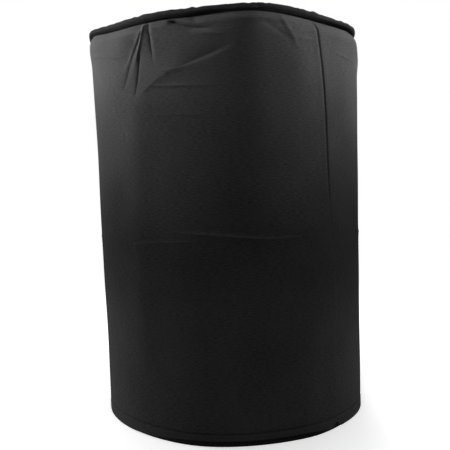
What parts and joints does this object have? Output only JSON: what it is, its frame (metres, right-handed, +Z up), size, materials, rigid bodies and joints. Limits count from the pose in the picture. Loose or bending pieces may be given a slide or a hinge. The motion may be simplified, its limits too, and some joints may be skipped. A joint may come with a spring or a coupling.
{
  "type": "padded loudspeaker cover",
  "caption": "Upright padded fabric cover for a loudspeaker, round and slightly flared, with tape-bound edges, an open bottom and a hinged flap over the handle slot.",
  "frame": {"origin": "middle of the bottom edge, on the surface that the cover stands on", "axes": "+Z up towards the closed top, -Y the front, with the flap's hinge line along X"},
  "size_m": [0.4586, 0.4586, 0.62],
  "materials": {
    "shell_fabric": "matte",
    "binding_tape": "matte",
    "lining_fabric": "satin",
    "foam": "matte",
    "grip_strip": "matte"
  },
  "bodies": {
    "cover": {"wall_shell": "shell_fabric", "wall_padding": "foam", "wall_lining": "lining_fabric", "closing_seam_tape": "binding_tape", "top_shell": "shell_fabric", "top_padding": "foam", "top_lining": "lining_fabric", "top_edge_binding": "binding_tape", "bottom_edge_binding": "binding_tape", "handle_slot_binding": "binding_tape", "loop_strip": "grip_strip", "flap_hinge_tape": "binding_tape"},
    "flap": {"flap_shell": "shell_fabric", "flap_padding": "foam", "flap_lining": "lining_fabric", "flap_binding": "binding_tape", "hook_strip": "grip_strip"}
  },
  "joints": [
    {"name": "flap_lift", "type": "hinge", "parent": "cover", "child": "flap", "pos_m": [0, 0.051, 0.61], "axis": [-1, 0, 0], "range_deg": [0, 160]}
  ]
}
